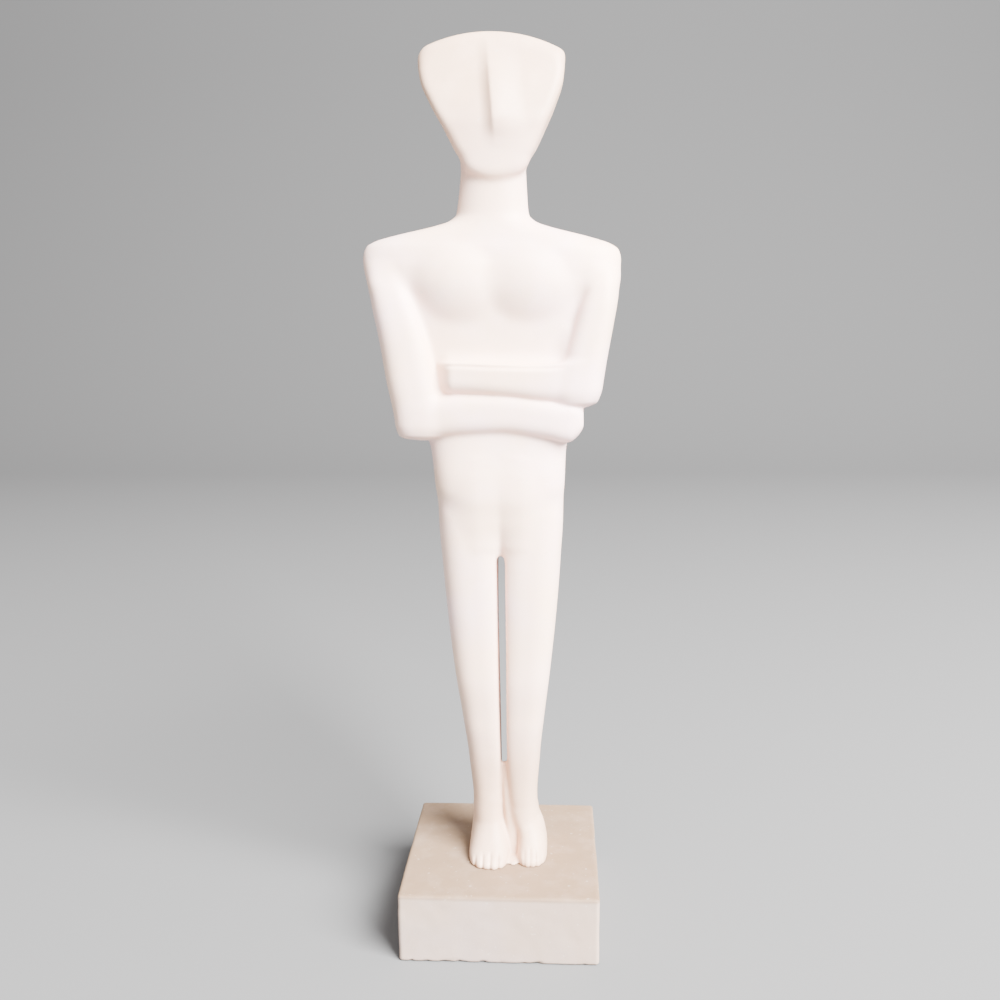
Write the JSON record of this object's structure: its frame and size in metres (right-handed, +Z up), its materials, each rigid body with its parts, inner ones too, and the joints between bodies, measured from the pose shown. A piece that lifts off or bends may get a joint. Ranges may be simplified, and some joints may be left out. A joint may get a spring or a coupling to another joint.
{
  "type": "cycladic figurine",
  "caption": "Slender white stone folded-arm figurine with a flat tilted head and long nose, standing on a plain square block.",
  "frame": {"origin": "middle of the plinth's underside", "axes": "+Z up along the figure, the figure faces -Y, +X to its left hand, which is the viewer's right"},
  "size_m": [0.1006, 0.08, 0.3603],
  "materials": {
    "carved_stone": "fine white stone, rubbed smooth, satin matt",
    "plinth_stone": "white stone, sawn and rubbed, matt, slightly warmer"
  },
  "bodies": {
    "root": {"figure": "carved_stone", "plinth": "plinth_stone"}
  },
  "joints": []
}
